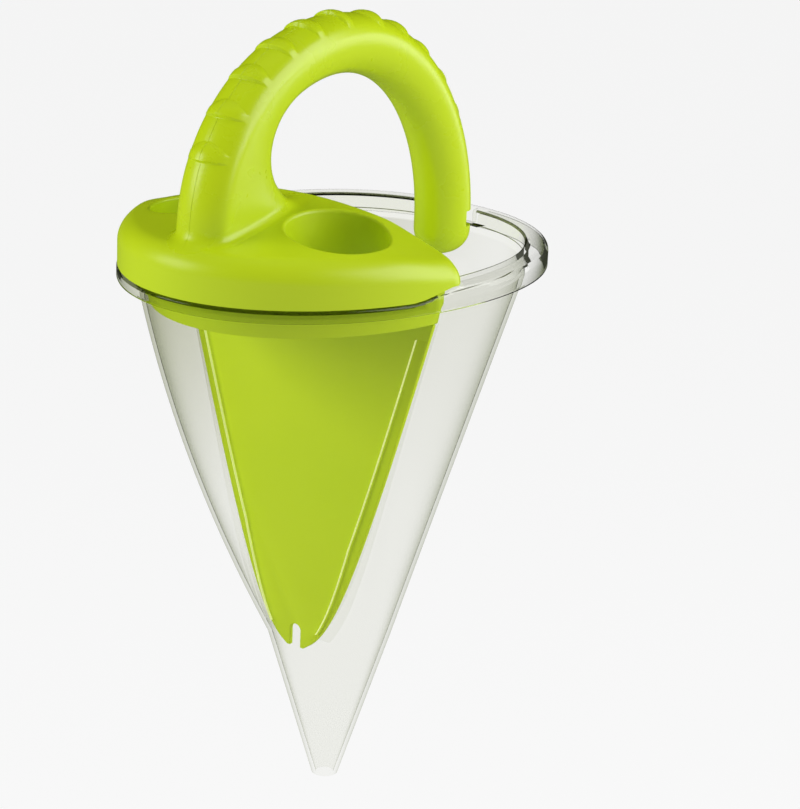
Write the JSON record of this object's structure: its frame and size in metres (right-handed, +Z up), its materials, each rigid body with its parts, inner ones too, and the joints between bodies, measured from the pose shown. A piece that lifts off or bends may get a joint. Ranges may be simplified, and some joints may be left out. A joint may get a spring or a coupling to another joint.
{
  "type": "two-chamber sand funnel",
  "caption": "Clear oval funnel with a green domed half-lid, fill openings for water, a carrying arch with grip pads and a dividing plate that keeps sand and water apart down to the spout.",
  "frame": {"origin": "middle of the handle's section at the crown of the arch, where a hand carries the funnel", "axes": "+Z up, the cone's axis points down -Z; +X from the lidded water side to the open sand side; +Y across"},
  "size_m": [0.1892, 0.156, 0.3297],
  "materials": {
    "clear_plastic": "clear, polished",
    "lid_green": "satin gloss",
    "handle_green": "satin gloss",
    "plate_green": "satin"
  },
  "bodies": {
    "insert": {"lid": "lid_green", "handle_front": "handle_green", "handle_rear": "handle_green", "divider": "plate_green"},
    "cone": {"funnel": "clear_plastic"}
  },
  "joints": [
    {"name": "cone_pull", "type": "slide", "parent": "insert", "child": "cone", "axis": [0, 0, -1], "range_m": [0, 0.175]}
  ]
}
